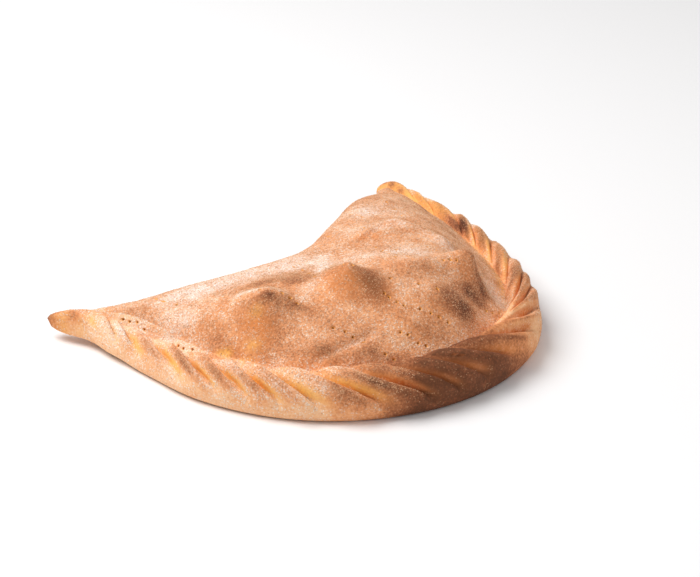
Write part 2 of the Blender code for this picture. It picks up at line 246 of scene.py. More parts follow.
# %% Relief of the top
# x, y, reach to the left, right, near side and far side, height, and a turn in degrees for those that
# don't lie along the common lean.
LEAN = -45
BUBBLES = (
    (-94, -17, 17, 11, 8, 16, 10),
    (-101, -20, 26, 22, 16, 24, 3),
    (-82, -23, 12, 11, 9, 12, 4),
    (-104, 0, 12, 14, 9, 14, 2.5),
    (-37, -32, 17, 10, 12, 15, 11),
    (-46, -40, 22, 18, 18, 16, 3.5),
    (-25, -43, 14, 10, 12, 13, 6.5),
    (57, -57, 13, 6, 8, 10, 9.5),
    (53, -61, 24, 8, 15, 13, 10),
    (76, -68, 11, 16, 14, 16, -5),
    (20, -80, 22, 11, 12, 12, 7),
    (-2, -68, 22, 22, 14, 14, 2.5),
    (14, -44, 24, 22, 14, 10, 4),
    (33, 14, 20, 18, 10, 11, 3),
    (46, 16, 13, 16, 4, 9, 2.5),
    (66, -24, 10, 6, 6, 9, 4),
    (-21, -83, 20, 20, 12, 14, 3, -40),
    (-88, -62, 18, 12, 13, 10, 4.5),
    (-123, -24, 14, 18, 7, 12, 3, -55),
    (-62, -80, 18, 22, 9, 6, 4.5, -38),
    (-70, 6, 22, 14, 9, 12, 3.5),
    (-128, 56, 14, 16, 9, 10, 2.5, -50),
    (88, 62, 16, 16, 12, 12, 2.5),
)
# Creases pressed into the top: x and y where each starts and ends, half width, depth. One with a depth
# below zero is a welt that stands up.
CREASES = (
    (-102, -62, -48, -72, 3, 3),
    (-146, 46, -133, 18, 2.2, 2.5),
    (18, 11, 44, 14, 2, 3),
    (16, 22, 34, 33, 2.5, 2.5),
    (50, 22, 67, -18, 7, -4),
    (-16, -46, 46, -53, 8, -3),
    (-32, 23, 12, 12, 8, -4),
    (-10, 38, 14, 28, 6, 3),
    (-128, -12, -121, -29, 1.8, 2.5),
)
# A crease starts this share of its run before its first point, so it has some depth there.
CREASE_START = 0.04


def hills(x, y, rows):
    """Sum of soft hills, each with reaches of its own."""
    total = np.zeros_like(x)
    for hill_x, hill_y, left, right, near, far, rise, *own_turn in rows:
        turn = radians(own_turn[0] if own_turn else LEAN)
        u = (x - hill_x) * cos(turn) + (y - hill_y) * sin(turn)
        v = (y - hill_y) * cos(turn) - (x - hill_x) * sin(turn)
        u /= np.where(u < 0, left, right)
        v /= np.where(v < 0, near, far)
        total += rise * np.exp(-u * u - v * v)
    return total


def furrows(x, y, rows):
    """Sum of furrows, each as deep as its row says along its middle."""
    total = np.zeros_like(x)
    for x0, y0, x1, y1, half_width, depth in rows:
        run = (x1 - x0) ** 2 + (y1 - y0) ** 2
        share = np.clip(((x - x0) * (x1 - x0) + (y - y0) * (y1 - y0)) / run, 0, 1)
        away = np.hypot(x - x0 - share * (x1 - x0), y - y0 - share * (y1 - y0))
        swell = np.sin(np.pi * (CREASE_START + (1 - 2 * CREASE_START) * share)) ** 0.5
        total += depth * np.exp(-(away / half_width) ** 2) * swell
    return total


def top_relief(x, y):
    """Height of the bubbles and creases over the plain top."""
    return hills(x, y, BUBBLES) - furrows(x, y, CREASES)


print(len(BUBBLES), "bubbles and", len(CREASES), "creases")

# %% [markdown]
# ## One cross-section
# Every slice of the bread, from fold to rim, has the same parts: the fold's rounded side, the dome, the
# groove, the rope and the flat underside. This cell works out the sizes of a slice at any place. The
# line from fold to rope leaves the fold straight and meets the rope square, as the dough was pulled.

# %% Sizes of a slice
# The fold's rounded side, up to a share of the way to the rope, and the share of the fold's height at
# which it is widest.
FOLD_EDGE_RADIUS = 26
FOLD_EDGE_MOST = 0.45
FOLD_EDGE_BELOW = 0.42


def slice_sizes(along):
    """The fold, the rope's axis and the sizes of the slice at each place along the bread."""
    cut = SimpleNamespace(along=along, fold=fold_point(along), rim=rim_point(along))
    cut.outward = rim_outward(along)
    cut.rimwise = np.stack([-cut.outward[..., 1], cut.outward[..., 0]], axis=-1)
    width = np.linalg.norm(cut.rim - cut.fold, axis=-1)
    outside = curve_through(ROPE_OUTSIDE, along)
    narrowing = 1 - np.exp(-width / (outside + ROPE_INSIDE))
    cut.outside = outside * narrowing
    cut.inside = ROPE_INSIDE * narrowing
    cut.foot_inset = np.minimum(ROPE_FOOT_INSET, cut.outside * ROPE_FOOT_MOST)
    cut.rope_height = curve_through(ROPE_HEIGHT, along)
    cut.rope_axis = cut.rim - cut.outward * cut.outside[..., None]
    cut.reach = np.linalg.norm(cut.rope_axis - cut.fold, axis=-1)
    cut.fold_height = curve_through(FOLD_HEIGHT, fold_share(along))
    cut.edge = np.minimum(FOLD_EDGE_RADIUS, FOLD_EDGE_MOST * cut.reach) / cut.reach
    return cut


def plan(cut, share):
    """Point on the line that leaves the fold towards the rope and meets it square."""
    straight = cut.rope_axis - cut.fold
    square = cut.outward * cut.reach[..., None]
    return hermite(share[..., None], cut.fold, straight, cut.rope_axis, square)


middle_cut = slice_sizes(np.array(0.5))
print("halfway along, the rope is", round(float(middle_cut.reach)), "mm from the fold")

# %% [markdown]
# ## The skin as a function
# The skin is written as a function of two numbers: the strand, counted from the left tip, and the way
# round the slice. A ball can then be pulled into the bread by giving every point of it these two numbers.
# It could also be sculpted, but a function gives the same bread at any fineness.

# %% Parts of a slice
# Shares of the way round that end the fold's side, the dome, the rope's inside and outside.
FOLD_SIDE_END = 0.14
DOME_END = 0.50
ROPE_CREST = 0.62
ROPE_END = 0.84
# How much wider than evenly the dome's segments stand beside the fold. They crowd towards the groove.
DOME_CROWDING = 0.3
# The groove's height as a share of the rope's, and the rounding of the corner in it.
GROOVE_HEIGHT = 0.55
GROOVE_ROUNDING = 3
# The relief fades in beside the fold and out beside the rope, by the share of the way across.
RELIEF_FADE_IN = (0, 0.1)
RELIEF_FADE_OUT = (1, 0.85)
# The tuck fades out this far under the dome.
TUCK_FADE = 3


def fold_side(cut, around):
    """The fold's rounded side, from its foot to its top."""
    rise = np.radians(-90 + 180 * np.clip(around / FOLD_SIDE_END, 0, 1))
    waist = FOLD_EDGE_BELOW * cut.fold_height
    side = plan(cut, cut.edge * (1 - np.cos(rise)))
    return side, waist + np.sin(rise) * np.where(rise < 0, waist, cut.fold_height - waist)


def top(cut, around, angle, lobes, tuck):
    """The top, from the fold to the crest of the rope: the higher of the dome and the rope."""
    over_dome = np.clip((around - FOLD_SIDE_END) / (DOME_END - FOLD_SIDE_END), 0, 1)
    groove_share = np.maximum(1 - cut.inside / cut.reach, cut.edge)
    tucked = np.cos(np.radians(180 - angle))
    spacing = 1 + DOME_CROWDING - DOME_CROWDING * over_dome
    share = cut.edge + (groove_share - cut.edge) * over_dome * spacing
    share = np.where(around > DOME_END, 1 - (1 - groove_share) * tucked, share)
    top_plan = plan(cut, share)
    across = (share - cut.edge) / (1 - cut.edge)
    groove = GROOVE_HEIGHT * cut.rope_height
    fullness = curve_through(DOME_FULLNESS, cut.along)
    dome_z = groove + (cut.fold_height - groove) * np.cos(np.pi / 2 * across ** fullness)
    dome_z += curve_through(CROWN, cut.along) * np.sin(np.pi * np.clip(across, 0, 1)) ** CROWN_FOCUS
    relief = top_relief(top_plan[..., 0], top_plan[..., 1])
    dome_z += relief * ramp(*RELIEF_FADE_IN, across) * ramp(*RELIEF_FADE_OUT, across)
    roundness = np.sqrt(1 - tucked ** 2)
    rope_z = cut.rope_height / 2 + (cut.rope_height / 2 + lobes) * roundness
    rope_z = np.where(around > DOME_END, rope_z, 0)
    top_plan = top_plan + tuck * (ramp(-TUCK_FADE, 0, rope_z - dome_z) * roundness)[..., None]
    return top_plan, soft_larger(dome_z, rope_z, GROOVE_ROUNDING)


def rope_side(cut, angle, lobes, tuck):
    """The rope's outside, from its crest to its foot."""
    turn = np.radians(np.clip(angle, -90, 90))
    waist = ROPE_WAIST * cut.rope_height
    below = cut.outside - cut.foot_inset * (1 - np.cos(turn))
    bulge = np.where(turn > 0, cut.outside * np.cos(turn), below)
    bulge += lobes * np.cos(turn)
    side = cut.rope_axis + cut.outward * bulge[..., None] + tuck
    return side, waist + np.sin(turn) * np.where(turn > 0, cut.rope_height - waist + lobes, waist)


def underside(cut, to_fold):
    """The flat underside, back to the fold's foot."""
    foot = cut.rope_axis + cut.outward * (cut.outside - cut.foot_inset)[..., None]
    return foot + (plan(cut, cut.edge) - foot) * to_fold[..., None]


def way_over_rope(around):
    """Angle on the way over the rope: 180 in the groove, 90 on its crest and -90 at its foot."""
    to_crest = np.clip((around - DOME_END) / (ROPE_CREST - DOME_END), 0, 1)
    to_foot = np.clip((around - ROPE_CREST) / (ROPE_END - ROPE_CREST), 0, 1)
    return 180 - 90 * to_crest - 180 * to_foot


print("way over the rope at its crest:", way_over_rope(np.array(ROPE_CREST)), "degrees")

# %% Skin
# Share of the bread's length over which a tip is drawn together, how far it is lifted off the table, and
# the share over which it rises.
TIP_REACH = 0.024
TIP_LIFT = 5
TIP_RISE = 0.12


def skin(strand, around):
    """Points of the bread's skin in millimetres. Strand counts the twists from the left tip."""
    # Rings of the skin cross the dome square to the rim, follow the strands over the rope, and come back
    # under the bread to where they started.
    to_fold = np.clip((around - ROPE_END) / (1 - ROPE_END), 0, 1)
    angle = way_over_rope(around)
    cut = slice_sizes(strand_place(strand, angle + 270 * to_fold))
    strength = twist_strength(cut.along, angle)
    lobes = twist_profile(strand, cut.along) * strength
    tuck = cut.rimwise * (twist_tuck(strand) * strength / TUCKED_DEPTH)[..., None]

    side_plan, side_z = fold_side(cut, around)
    top_plan, top_z = top(cut, around, angle, lobes, tuck)
    rope_plan, rope_z = rope_side(cut, angle, lobes, tuck)
    under_plan = underside(cut, to_fold)
    parts = [around < FOLD_SIDE_END, around < ROPE_CREST, around < ROPE_END]
    xy = np.select([part[..., None] for part in parts], [side_plan, top_plan, rope_plan], under_plan)
    z = np.select(parts, [side_z, top_z, rope_z], 0)
    points = np.concatenate([xy, z[..., None]], axis=-1)

    # The tips are drawn to a blunt point, a little off the table.
    from_tip = np.clip(np.minimum(cut.along, 1 - cut.along) / TIP_REACH, 0, 1)
    taper = np.sqrt(1 - (1 - from_tip) ** 2)
    middle = np.concatenate([(cut.fold + cut.rim) / 2, cut.rope_height[..., None] / 2], axis=-1)
    points = middle + (points - middle) * taper[..., None]
    points[..., 2] += TIP_LIFT * (ramp(TIP_RISE, 0, cut.along) + ramp(1 - TIP_RISE, 1, cut.along))
    return points


print("crest of the rope halfway along:", np.round(skin(np.array(12.0), np.array(ROPE_CREST)), 1))

# %% [markdown]
# ## A lump of noise for dough
# Dough is never smooth: it swells a little everywhere. Blender has noise for shaders, but a visible shape
# belongs in the mesh, where it also shows in the outline. This helper makes smooth noise out of a block
# of random numbers, so that it can move a hundred thousand points at once.

# %% Noise in the mesh
NOISE_BLOCK = 32


def lattice_noise(points, size, seed):
    """Smooth noise from about -1 to 1 at each point, with lumps of the given size in millimetres."""
    block = np.random.default_rng(seed).uniform(-1, 1, (NOISE_BLOCK,) * 3)
    place = points / size
    cell = np.floor(place).astype(int)
    t = ramp(0, 1, place - cell)
    total = np.zeros(len(points))
    for corner in np.ndindex(2, 2, 2):
        share = np.prod(np.where(corner, t, 1 - t), axis=1)
        x, y, z = ((cell + corner) % NOISE_BLOCK).T
        total += share * block[x, y, z]
    return total


print("noise at the hub:", lattice_noise(np.array([[HUB[0], HUB[1], 0.0]]), 20, 1).round(3))

# %% [markdown]
# ## Pulling a ball into the bread
# The skin starts as a ball whose poles become the two tips. The ball's rings are numbered, each ring
# follows one line of the strands, and each segment is given its way round the slice. More segments go to
# the top, which everyone sees, than to the underside.

# %% Fine skin
RING_STEP = 1.75
SKIN_SEGMENTS = 232
LEAST_RINGS = 3
# Share of the ball's segments, way round the slice.
SEGMENT_SPREAD = ((0, 0), (0.11, FOLD_SIDE_END), (0.60, DOME_END), (0.70, ROPE_CREST),
                  (0.93, ROPE_END), (1, 1))


def strand_rings(step):
    """Places of the skin's rings, counted in twists: a wide twist has more of them than a narrow one."""
    places = []
    for twist, width in enumerate(TWIST_WIDTHS):
        count = max(LEAST_RINGS, round(width / step))
        places.extend(twist + np.arange(count) / count)
    return np.array(places + [len(TWIST_WIDTHS)])


def finished_mesh(work, name):
    """The bmesh as a mesh of its own."""
    mesh = bpy.data.meshes.new(name)
    work.to_mesh(mesh)
    work.free()
    return mesh


def read_vectors(mesh, kind):
    """Place ("co") or normal ("normal") of every point of a mesh, as an array."""
    flat = np.empty(len(mesh.vertices) * 3, dtype=np.float32)
    mesh.vertices.foreach_get(kind, flat)
    return flat.reshape(-1, 3).astype(float)


def read_points(mesh):
    """All of a mesh's points in millimetres."""
    return read_vectors(mesh, "co") / MM


def write_points(mesh, points):
    mesh.vertices.foreach_set("co", (points * MM).ravel())
    mesh.update()


def dough_ball(name):
    """The finer skin, with each point's strand and way round the slice."""
    strands = strand_rings(RING_STEP)
    rings = len(strands) - 1
    ball = bmesh.new()
    bmesh.ops.create_uvsphere(ball, u_segments=SKIN_SEGMENTS, v_segments=rings, radius=1)
    mesh = finished_mesh(ball, name)
    x, y, z = (read_points(mesh) * MM).T
    ring = np.rint(np.arccos(np.clip(z, -1, 1)) / np.pi * rings).astype(int)
    segment = np.arctan2(-y, x) / (2 * np.pi) % 1
    around = np.interp(segment, *np.transpose(SEGMENT_SPREAD))
    strand = strands[ring]
    write_points(mesh, skin(strand, around))
    return mesh, strand, around


crust_mesh, strand, around = dough_ball("crust")
print("crust has", len(crust_mesh.vertices), "points on", len(strand_rings(RING_STEP)), "rings")

# %% [markdown]
# ## Lumps, wrinkles and blisters
# Four layers of noise lift and sink the skin along its own normals, from broad swellings over the
# filling to the fine pitting of a floured surface. Noise that is drawn out along the strands gives them
# the streaks of stretched dough. Blisters, where steam was caught under the skin, come from a seeded
# draw. The underside stays flat, because the bread baked on it.

# %% Lumps and blisters
# Size of a lump and how far it moves the skin, both in millimetres.
LUMPS = ((34, 0.9), (15, 0.45), (6, 0.16), (2.6, 0.09))
# Streaks for each twist, degrees over the rope that one runs on, the twist depth at which they are
# whole, and how far round from the groove they grow.
FIBRES_A_TWIST = 9
FIBRE_RUN = 45
FIBRE_DEPTH = 10
FIBRE_GROWTH = 0.04
FIBRE_SEED = 31
FIBRE_RISE = 0.45
# Lumps fade out between these heights, and blisters and fork holes are only on skin above the third.
FLAT_BELOW = 0.5
LUMPY_ABOVE = 7
UPPER_SKIN = 12
BLISTERS = 70
BLISTER_SIZE = (1.6, 4.5)
BLISTER_RISE = 0.14
BLISTER_SEED = 11


def strand_fibres(strand, around):
    """Streaks that run along the strands, as dough shows where it was stretched. From about -1 to 1."""
    angle = way_over_rope(around)
    place = np.stack([strand * FIBRES_A_TWIST, angle / FIBRE_RUN, np.zeros_like(angle)], axis=-1)
    strength = twist_strength(strand_place(strand, angle), angle) / FIBRE_DEPTH
    return lattice_noise(place, 1, FIBRE_SEED) * strength * ramp(DOME_END, DOME_END + FIBRE_GROWTH, around)


def add_lumps(mesh, strand, around):
    points = read_points(mesh)
    normals = read_vectors(mesh, "normal")
    lift = sum(rise * lattice_noise(points, size, seed) for seed, (size, rise) in enumerate(LUMPS))
    draw = np.random.default_rng(BLISTER_SEED)
    upper = np.flatnonzero(points[:, 2] > UPPER_SKIN)
    for centre in points[draw.choice(upper, BLISTERS, replace=False)]:
        size = draw.uniform(*BLISTER_SIZE)
        away = np.linalg.norm(points - centre, axis=1) / size
        lift += BLISTER_RISE * size * np.exp(-away ** 2)
    lift += FIBRE_RISE * strand_fibres(strand, around)
    lift *= ramp(FLAT_BELOW, LUMPY_ABOVE, points[:, 2])
    write_points(mesh, points + normals * lift[:, None])
    return lift


lift = add_lumps(crust_mesh, strand, around)
print("lumps move the skin from", round(float(lift.min()), 2), "to", round(float(lift.max()), 2), "mm")

# %% [markdown]
# ## Where it browned and where the flour stayed
# An oven browns what stands up: bubble crests, strand crests and the tips. Grooves stay pale, and flour
# stays where the top is sheltered and flat. Painting such maps by hand would take hours. Here they are
# worked out from the same strands and hills as the shape, and kept as numbers on the mesh's points.
# Some of them also carry painted light and shade: on the strands' faces, on the rope's low outside and
# in two torn pockets beside the rope.

# %% Browned, orange, yellow, floured and scorched places, and painted shade in pockets
# Rows as in the table of bubbles, with an amount of browning in place of the height.
BROWNED = (
    (-93, -20, 8, 8, 2.5, 3.2, 0.36),
    (-80, -30, 10, 12, 5, 6, 0.22),
    (-57, -5, 15, 13, 6, 8, 0.3),
    (-52, 8, 14, 14, 6, 7, 0.26),
    (-78, 8, 16, 14, 6, 7, 0.2),
    (-104, -26, 14, 12, 9, 7, 0.18),
    (-46, -40, 12, 12, 10, 8, 0.12),
    (-98, -60, 20, 18, 6, 6, -0.12, -35),
    (-33, -79, 16, 16, 7, 6, -0.12, -42),
    (-29, -48, 9, 12, 10, 10, 0.5),
    (-37, -33, 12, 8, 4, 4, 0.12),
    (52, -60, 9, 6, 7, 6, 0.05),
    (57, -70, 6, 6, 9, 12, 0.46),
    (40, -74, 10, 10, 6, 6, 0.46),
    (20, -84, 14, 8, 10, 12, 0.54),
    (-12, -88, 22, 14, 8, 9, 0.14, -40),
    (4, -46, 18, 22, 5, 5, 0.08, -40),
    (-86, -60, 12, 10, 7, 6, 0.24),
    (-52, -88, 14, 14, 5, 5, 0.18, -38),
    (-144, 72, 14, 14, 6, 6, 0.16, -60),
)
# Baked to orange with little flour on it.
ORANGE = (
    (-106, -24, 14, 10, 9, 7, 1.1),
    (-118, -30, 12, 10, 8, 7, 0.6),
    (-46, -38, 14, 14, 11, 8, 0.9),
    (-102, -60, 26, 24, 6, 6, 0.7, -35),
    (-116, 4, 20, 16, 10, 12, 0.45),
    (-140, 32, 16, 16, 3, 3, 0.8, -62),
    (-20, -60, 18, 18, 12, 10, 0.4),
    (22, 12, 16, 16, 4, 4, 0.6, -40),
    (44, -60, 12, 8, 8, 6, 0.4),
    (-33, -79, 16, 16, 7, 6, 0.5, -42),
    (0, -84, 14, 12, 10, 10, 0.3),
)
# Pale dough that shows yellow, as where a blister tore open.
YELLOW = (
    (-126, -15, 5, 4, 1.8, 1.6, 1.4, -62),
    (-165, 104, 5, 5, 5, 5, 0.45, 0),
    (-161, 94, 4, 4, 4, 4, 0.35, 0),
    (-121, -29, 4, 6, 1.5, 1.5, 0.4, -62),
    (-103, -18, 4, 4, 2.5, 2.5, 0.5),
    (-114, -28, 5, 5, 3, 3, 0.45),
)
# Sheltered hollows and flat stretches that kept their flour.
FLOURED = (
    (-98, 42, 50, 40, 16, 20, 0.5, -30),
    (-40, 5, 40, 40, 14, 14, 0.4, -30),
    (-32, 24, 34, 26, 9, 12, 0.4, -25),
    (-46, -14, 24, 24, 5, 5, 0.4, 33),
    (20, -25, 30, 30, 12, 12, 0.35),
    (70, -70, 10, 12, 12, 16, 0.45),
    (63, 50, 26, 26, 22, 22, 0.35),
    (60, 0, 20, 20, 10, 10, 0.25, -60),
    (64, -26, 12, 12, 8, 8, 0.28),
    (-11, -57, 14, 14, 8, 8, 0.25),
    (-128, 22, 22, 20, 9, 12, 0.3, -58),
    (40, 16, 24, 18, 8, 8, 0.25),
    (-92, -7, 18, 16, 4, 8, 0.5),
    (-76, -67, 26, 22, 1.6, 1.8, 0.3, -12),
    (-52, -72, 12, 14, 5, 5, 0.15, -30),
)
# Two dark patches beside the rope at the right, painted as the shade in torn pockets between its
# strands, and scorched spots at both tips.
SCORCH_AND_POCKET_SHADE = (
    # These two are painted shade, in torn pockets between the strands.
    (145, 38, 10, 10, 3.5, 3.5, 0.6, 67),
    (138, 60, 5, 6, 3, 3, 0.5, 67),
    # Scorched spots at the tips.
    (158, 127, 3, 3, 3, 3, 0.35, 0),
    (158, 119, 3, 3, 3, 3, 0.25, 0),
    (157, 108, 4, 4, 4, 4, 0.22, 0),
    (-160, 99, 4, 4, 4, 4, 0.3, 0),
    (-163, 121, 5, 5, 5, 5, 0.4, 0),
)
# How brown the rope is, by place along the bread.
ROPE_BROWNING = ((0, 0.8), (0.01, 0.4), (0.025, 0.06), (0.1, 0.1), (0.2, 0.1), (0.3, 0.16), (0.36, 0.4),
                 (0.4, 0.62), (0.45, 0.9), (0.49, 0.8), (0.55, 0.28), (0.6, 0.02), (0.64, 0.28),
                 (0.75, 0.32), (0.85, 0.2), (0.93, 0.16), (1, 0.36))
print(sum(map(len, (BROWNED, ORANGE, YELLOW, FLOURED, SCORCH_AND_POCKET_SHADE))), "places that baked differently")

# %% Toasted and fresh dough on the strands, with painted shade and light
STRAND_SEED = 8
STRAND_SHARE = (0.55, 1.15)
# How deep a twist is when it browns in full.
BROWNED_DEPTH = 6
# Middle and half width across the strand, and then by the angle over the rope: each strand is toasted on
# its crest, and pale and fresh where it slipped out from under the one before. The toasted face also
# carries painted shade on the strand's steep side, and the fresh face carries painted light on its rising
# side.
TOASTED_AND_SHADED = (0.62, 0.26, 50, 44)
FRESH_AND_LIT = (0.15, 0.16, 46, 30)
# On the far side of the rim the strands browned, and carry their painted shade and light, on the face
# towards the dome, which is further round.
FAR_TURN = 60
# Stretches of the rim by place along it: where each begins, is whole, is last whole and ends. One that
# takes in a tip begins or ends beyond it.
STRETCHES = {
    "tip_end": (-2, -1, 0.004, 0.014), "tip_knob": (-2, -1, 0.02, 0.07), "tip": (-2, -1, 0.04, 0.09),
    "left_foot": (-2, -1, 0.3, 0.4), "left": (-2, -1, 0.32, 0.42), "past_left": (0.32, 0.42, 2, 3),
    "thin_front": (0.26, 0.34, 0.36, 0.44), "dark_front": (0.36, 0.44, 0.54, 0.62),
    "bare_front": (0.36, 0.44, 0.54, 0.68), "far": (0.52, 0.72, 2, 3), "far_groove": (0.56, 0.72, 2, 3),
    "back": (0.62, 0.78, 2, 3), "yellow_back": (0.68, 0.8, 2, 3), "far_tip": (0.86, 0.92, 2, 3),
}


def patch(place, middle, half_width):
    """Soft patch: 1 in its middle."""
    return np.exp(-((place - middle) / half_width) ** 2)


def rim_stretches(along):
    """Share from 0 to 1 of every named stretch of the rim."""
    return SimpleNamespace(**{name: band(along, *places) for name, places in STRETCHES.items()})


def strand_bake_and_light(strand, angle, strength, far):
    """Toasted crests with painted shade and bared dough with painted light, more on some strands than
    others.
    """
    draw = np.random.default_rng(STRAND_SEED)
    share = draw.uniform(*STRAND_SHARE, len(TWIST_WIDTHS) + 1)[strand.astype(int)]
    turn = FAR_TURN * far
    for middle, width, middle_angle, angle_width in (TOASTED_AND_SHADED, FRESH_AND_LIT):
        spot = patch(strand % 1, middle, width) * patch(angle, middle_angle + turn, angle_width)
        yield spot * strength * share


print(len(STRETCHES), "stretches of the rim")

# %% Maps on the skin
# The rope's part of the way round, and its low outside, its outer crest and its inner side by angle.
ON_ROPE = (DOME_END - 0.01, DOME_END + 0.02, ROPE_END - 0.02, ROPE_END + 0.02)
# On the rope's low outside, shade is painted darker from the front on, and the lit left is painted paler.
PAINTED_LOW_OUTSIDE = (50, -20)
OUTER_CREST = (115, 75)
INNER_SIDE = (60, 110)
GROOVE_HALF_WIDTH = 0.02
# Size in millimetres and seed of the noise that makes browning uneven, all over and in the rope's clouds.
UNEVEN = (9, 21)
CLOUDS = (14, 41)
DOME_BROWNING = 0.4
ROPE_DARKEST = 0.93
PLAIN_FLOUR = 0.42
LEAST_FLOUR = 0.24
# Flour slides off steep skin: it goes from half to all of it as the skin turns from side to top.
FLOUR_HOLDS = (-0.3, 0.6)


def write_map(mesh, name, values):
    """Keep a number from 0 to 1 at each point of the mesh, for a material to read."""
    layer = mesh.attributes.new(name, "FLOAT", "POINT")
    layer.data.foreach_set("value", np.clip(values, 0, 1).astype(np.float32))


def bake_maps(mesh, strand, around):
    """Browning, orange crust, flour and pale dough at each point."""
    points = read_points(mesh)
    x, y = points[:, :2].T
    brown_hills, flour_hills, yellow_hills, scorch_and_shade = (
        hills(x, y, rows) for rows in (BROWNED, FLOURED, YELLOW, SCORCH_AND_POCKET_SHADE))
    angle = way_over_rope(around)
    along = strand_place(strand, angle)
    rim = rim_stretches(along)
    on_rope = band(around, *ON_ROPE)
    strength = twist_strength(along, angle) / BROWNED_DEPTH * on_rope
    toasted_and_shade, fresh_and_light = strand_bake_and_light(strand, angle, strength, rim.far)
    uneven = 0.09 * lattice_noise(points, *UNEVEN) + 0.1 * strand_fibres(strand, around)

    # Under flour the dome is paler. So is the left tip, apart from its very end.
    dome = DOME_BROWNING + brown_hills - 0.25 * flour_hills + uneven - 0.26 * rim.tip
    dome += 0.5 * rim.tip_end
    # Crests of the rope are toasted, and painted darker as shade on their steep side. Its low outside is
    # painted darker as shade from the front on, and painted paler at the left, where the window lights it.
    rope = curve_through(ROPE_BROWNING, along) - 0.2 * fresh_and_light + uneven
    toasting_and_shade = (0.36 - 0.2 * rim.dark_front + 0.14 * rim.back) * toasted_and_shade
    rope += toasting_and_shade + (0.12 + 0.12 * rim.back) * lattice_noise(points, *CLOUDS)
    rope += ramp(*PAINTED_LOW_OUTSIDE, angle) * (0.14 * rim.past_left + 0.2 * rim.dark_front - 0.14 * rim.left_foot)
    browned = dome + (np.minimum(rope, ROPE_DARKEST) - dome) * on_rope + scorch_and_shade

    # Fresh dough bakes orange on the front, and hardly at the back. On the rising side of each strand this
    # orange is also painted light.
    orange = hills(x, y, ORANGE) * (1 - on_rope) + 0.12 * on_rope
    orange += 0.8 * fresh_and_light * (1 - 0.5 * rim.left - 0.8 * rim.back)
    orange += 0.3 * on_rope * rim.tip_knob - scorch_and_shade

    # Flour is thin on what browned, and the front of the rope lost most of it while it was twisted. The
    # outer side of the far crest kept some.
    floured = PLAIN_FLOUR + flour_hills - yellow_hills - 0.3 * orange - 0.3 * brown_hills - 1.5 * uneven
    floured = np.maximum(floured, LEAST_FLOUR) + 0.15 * toasted_and_shade - scorch_and_shade
    on_front = 0.1 * rim.left - 0.04 - 0.2 * rim.back - 0.15 * rim.far_tip - 0.15 * rim.thin_front
    floured += on_rope * (on_front - 0.45 * rim.bare_front - 0.3 * fresh_and_light)
    floured += 0.35 * on_rope * rim.back * ramp(*OUTER_CREST, angle)
    floured *= 0.5 + 0.5 * ramp(*FLOUR_HOLDS, read_vectors(mesh, "normal")[:, 2])

    # Raw yellow dough shows in the far groove, on fresh strands, where it is also painted light, and inside
    # the far tip.
    groove = patch(around, DOME_END, GROOVE_HALF_WIDTH) * rim.far_groove
    pale = yellow_hills + 0.9 * groove + fresh_and_light * (1.1 * rim.left + 0.9 * rim.back) - 2 * scorch_and_shade
    pale += on_rope * (0.14 * rim.yellow_back + 0.4 * rim.far_tip * ramp(*INNER_SIDE, angle))
    write_map(mesh, "browned", browned)
    write_map(mesh, "orange", orange)
    write_map(mesh, "floured", floured)
    write_map(mesh, "pale_dough", pale)


bake_maps(crust_mesh, strand, around)
print("maps on the crust:", [layer.name for layer in crust_mesh.attributes if layer.domain == "POINT"])

# %% [markdown]
# ## Fork holes
# Before baking, a fork is pressed into the top to let steam out, which leaves short rows of small holes.
# A hole is hardly wider than one face of the skin, so it can't just be pushed in. The faces around it
# are divided first, and then the new points go down into a pit with a faint lip round it.

# %% Fork holes
# x and y where each row of holes starts and ends, number of holes.
FORK_ROWS = (
    (-144, 67, -141, 49, 4), (-120, 63, -121, 41, 4), (-138, 25, -135, 8, 4), (-93, 12, -93, -11, 3),
    (-82, -21, -77, -29, 3), (-39, 15, -48, -15, 4), (-68, -55, -58, -72, 4), (-38, -30, -34, -35, 2),
    (51, 55, 51, 43, 3), (33, 22, 33, 22, 1), (14, -8, 7, -34, 4), (20, -22, 16, -38, 3),
    (-10, -8, -10, -8, 1), (-13, -49, -13, -49, 1), (-25, -56, -20, -70, 4), (-10, -77, 4, -89, 4),
    (1, -62, 10, -71, 2), (-34, -81, -23, -95, 4), (-51, -87, -48, -91, 2), (34, -53, 44, -57, 3),
    (57, -57, 57, -57, 1), (45, -85, 57, -86, 3), (88, 55, 76, 28, 3), (70, 7, 62, -5, 3),
    (45, -28, 45, -35, 2), (-83, -89, -83, -89, 1), (-20, -118, -7, -128, 4), (20, 52, 12, 36, 3),
)
HOLE_RADIUS = 1.2
HOLE_FLOOR = 0.2
HOLE_DEPTH = 1.6
# Height, distance from the hole's middle and half width of the lip round a hole.
LIP_HEIGHT = 0.3
LIP_PLACE = 1.6
LIP_HALF_WIDTH = 0.5
# The skin is divided finely up to here, and coloured as a hole from the first of these to the second.
HOLE_PATCH = 2.6
HOLE_STAIN = (1.5, 0.3)
# A prong that drags makes a longer hole, and none goes in just as deep as the last or just in line.
HOLE_LONGEST = 1.9
HOLE_DEPTH_SHARE = (0.6, 1.0)
HOLE_WOBBLE = 0.5
HOLE_SEED = 5


def hole_places(points):
    """A point of the skin for each hole of the fork's rows."""
    draw = np.random.default_rng(HOLE_SEED)
    chosen = []
    for x0, y0, x1, y1, count in FORK_ROWS:
        for share in np.linspace(0, 1, count):
            spot = np.array([x0 + share * (x1 - x0), y0 + share * (y1 - y0)])
            spot += draw.normal(0, HOLE_WOBBLE, 2)
            away = np.hypot(*(points[:, :2] - spot).T)
            away[points[:, 2] < UPPER_SKIN] = np.inf
            chosen.append(int(np.argmin(away)))
    return chosen


